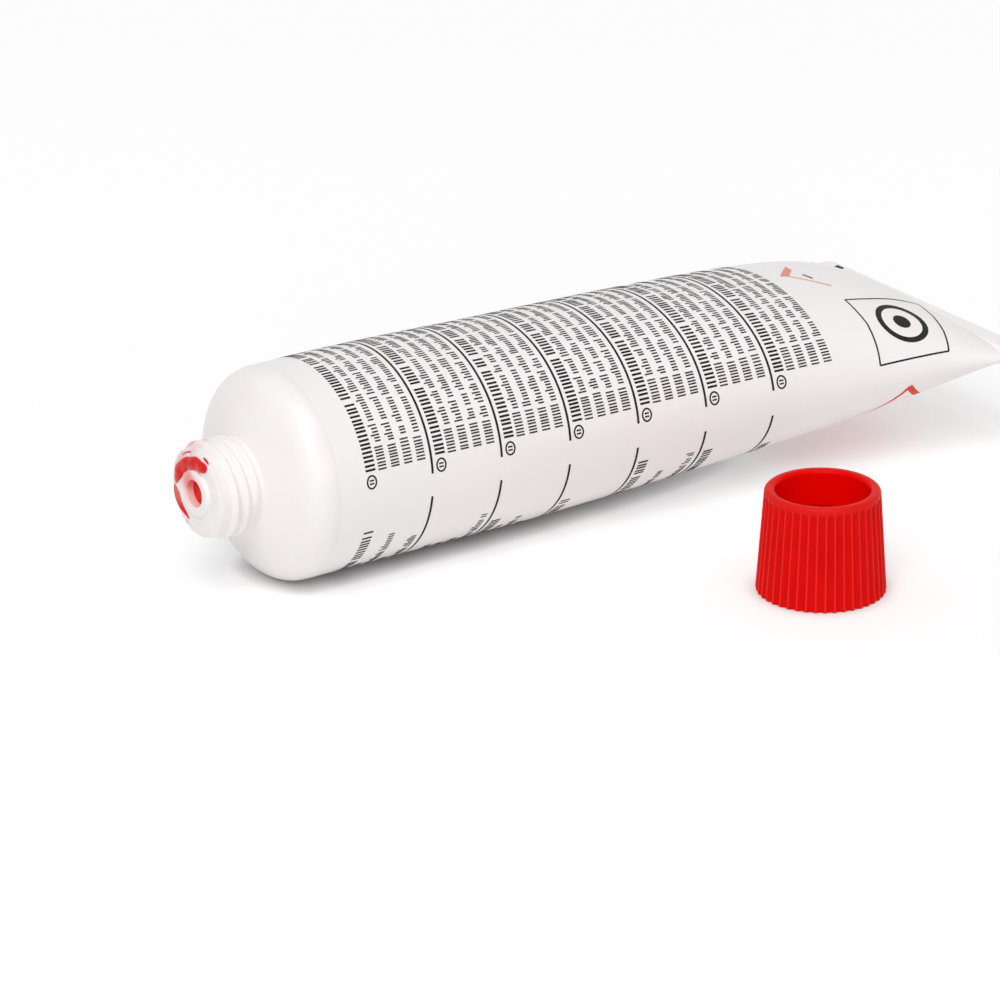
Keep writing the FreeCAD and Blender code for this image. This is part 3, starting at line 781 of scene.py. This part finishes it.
def make_cap():
    """The cap stands on its closed end; its fluted side leans in towards the open one."""
    edge = math.sqrt(FLUTE_RADIUS ** 2 - (FLUTE_RADIUS - FLUTE_DEPTH) ** 2)

    def spacing(point):
        return 0.2 if point[1] < BORE + 0.4 and point[0] > BORE_FLOOR + 0.5 else 0.9

    outline = rounded_outline([
        (FOOT_RECESS, POLE_RADIUS, 0), (FOOT_RECESS, FOOT_RADIUS, 0.2), (0, FOOT_RADIUS, 0.2),
        (0, CAP_BASE, 0.4), (CAP_TOP, CAP_RIM, 0.7), (CAP_TOP, BORE, 0.7), (BORE_FLOOR, BORE, 0.3),
        (BORE_FLOOR, POLE_RADIUS, 0)], spacing, closed=False)
    height, radius = outline[:, :1], outline[:, 1:]
    side = CAP_BASE + (CAP_RIM - CAP_BASE) * height / CAP_TOP
    across = np.array([-1, -0.8, -0.55, -0.28, 0, 0.28, 0.55, 0.8, 1])
    depth = np.sqrt(FLUTE_RADIUS ** 2 - (across * edge) ** 2) - (FLUTE_RADIUS - FLUTE_DEPTH)
    depth[[0, -1]] = 0.03
    pitch = 2 * math.pi / FLUTES
    half = edge / side
    in_flute = across * half
    crest = half + (pitch - 2 * half) * np.array([0.22, 0.78])
    one = np.concatenate([in_flute, crest], 1)
    depth = np.concatenate([depth, [0, 0]])
    angles = np.concatenate([one + pitch * n for n in range(FLUTES)], 1)
    columns = angles.shape[1]
    flute_end = CAP_TOP - FLUTE_TOP
    fluted = smooth_step(BORE + 1.0, BORE + 1.6, radius)
    fluted = fluted * (1 - smooth_step(flute_end - 0.3, flute_end + 0.4, height))
    fluted = fluted * smooth_step(9.4, 9.9, radius + height)
    radii = radius - np.tile(depth, FLUTES) * fluted
    shape = radii.shape
    groove = helix_ridge(np.broadcast_to(height, shape), angles % (2 * math.pi), GROOVE_FIRST,
                         PITCH, CAP_TOP - GROOVE_FIRST + PITCH, 0.2, 0.85, 0.2)
    groove = groove * (1 - smooth_step(CAP_TOP - GROOVE_FADE[0], CAP_TOP - GROOVE_FADE[1], height))
    inside = (height > BORE_FLOOR + 0.6) & (radius < GROOVE_RADIUS)
    radii = np.where(inside, np.maximum(radii, BORE + (GROOVE_RADIUS - BORE) * groove), radii)
    points = np.stack([CAP_X + radii * np.cos(angles), CAP_Y + radii * np.sin(angles),
                       np.broadcast_to(height, shape)], -1).reshape(-1, 3)
    poles = np.array([(CAP_X, CAP_Y, FOOT_RECESS), (CAP_X, CAP_Y, BORE_FLOOR)])
    count = len(points)
    faces = grid_faces(len(outline), columns, flip=True)
    faces += fan_faces(count, 0, columns, flip=True)
    faces += fan_faces(count + 1, (len(outline) - 1) * columns, columns)
    piece = add_mesh("fluted_cap", np.concatenate([points, poles]), faces, CAP, "cap_plastic", 50)
    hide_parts("screw_cap")


# --- stage --------------------------------------------------------------------------------------

def background_rays(nodes, links):
    """1 for rays that show the background: those from the camera, reflections and transmission."""
    path = nodes.new("ShaderNodeLightPath")
    seen = path.outputs["Is Camera Ray"]
    for kind in ("Is Glossy Ray", "Is Transmission Ray"):
        seen = math_node(nodes, links, "MAXIMUM", seen, path.outputs[kind])
    return seen


FLOOR_COLOUR, FLOOR_SEEN, FLOOR_GLOW = 0.96, 0.62, 0.46
GLOW_REACH = 3                                  # how near things must be to shade the floor's glow
FLOOR_HALF = 4000
SKY_LIGHT = 0.44
LAMPS = (("top_softbox", (-3, -2.4, 7), (3.2, 3.2), 0.28),
         ("strip_softbox", (0.12, -0.72, 2.28), (0.2, 1.6), 0.08),
         ("front_softbox", (-2.9, -2.3, 2.9), (1.6, 1.6), 0.18),
         ("low_softbox", (-1.8, -3.2, 0.9), (2, 0.8), 0.08))
LENS, SENSOR = 232.4, 36
CAMERA_PLACE = (-0.5818, -0.7726, 0.3943)
CAMERA_AIM = (0.5400, 0.7543, -0.3733)


def make_floor():
    material, nodes, links, shader, where = new_material("floor_white", 0.9, 0.0)
    seen = background_rays(nodes, links)
    white = mix_colour(nodes, links, seen, (FLOOR_COLOUR,) * 3, (FLOOR_SEEN,) * 3)
    links.new(white, shader.inputs["Base Color"])
    shader.inputs["Emission Color"].default_value = (1, 1, 1, 1)
    open_sky = nodes.new("ShaderNodeAmbientOcclusion")
    open_sky.samples = 4
    open_sky.inputs["Distance"].default_value = GLOW_REACH * MM
    unshaded = math_node(nodes, links, "MULTIPLY", seen, open_sky.outputs["AO"])
    glow = math_node(nodes, links, "MULTIPLY", unshaded, FLOOR_GLOW)
    links.new(glow, shader.inputs["Emission Strength"])
    points = [(x * FLOOR_HALF, y * FLOOR_HALF, 0) for x, y in ((-1, -1), (1, -1), (1, 1), (-1, 1))]
    add_mesh("floor", points, [(0, 1, 2, 3)], material, None)


def area_light(name, location, size, level):
    """A lamp aimed at the object; level is its share of the light that shows white as white."""
    lamp = bpy.data.lights.new(name, "AREA")
    lamp.shape = "RECTANGLE"
    lamp.size, lamp.size_y = size
    lamp.energy = level * math.pi ** 2 * Vector(location).length_squared
    light = bpy.data.objects.new(name, lamp)
    light.location = location
    light.rotation_mode = "QUATERNION"
    light.rotation_quaternion = (-Vector(location)).to_track_quat("-Z", "Y")
    bpy.context.scene.collection.objects.link(light)


def make_lights():
    world = bpy.data.worlds.new("studio")
    bpy.context.scene.world = world
    world.use_nodes = True
    nodes, links = world.node_tree.nodes, world.node_tree.links
    background = nodes["Background"]
    background.inputs["Color"].default_value = (1, 1, 1, 1)
    strength = nodes.new("ShaderNodeMapRange")
    strength.inputs["To Min"].default_value = SKY_LIGHT
    strength.inputs["To Max"].default_value = 1.0
    links.new(background_rays(nodes, links), strength.inputs["Value"])
    links.new(strength.outputs["Result"], background.inputs["Strength"])
    for lamp in LAMPS:
        area_light(*lamp)


def make_camera():
    scene = bpy.context.scene
    data = bpy.data.cameras.new("camera")
    data.lens = LENS
    data.sensor_width = SENSOR
    data.clip_start, data.clip_end = 0.05, 20
    camera = bpy.data.objects.new("camera", data)
    camera.location = CAMERA_PLACE
    camera.rotation_mode = "QUATERNION"
    camera.rotation_quaternion = Vector(CAMERA_AIM).to_track_quat("-Z", "Y")
    scene.collection.objects.link(camera)
    scene.camera = camera
    scene.view_settings.view_transform = "Standard"


make_sleeve()
make_text_blocks()
make_marks()
make_head()
make_paste()
make_cap()
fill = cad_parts["paste_fill"].data.materials
fill.clear()
fill.append(PASTE)
make_floor()
make_lights()
make_camera()
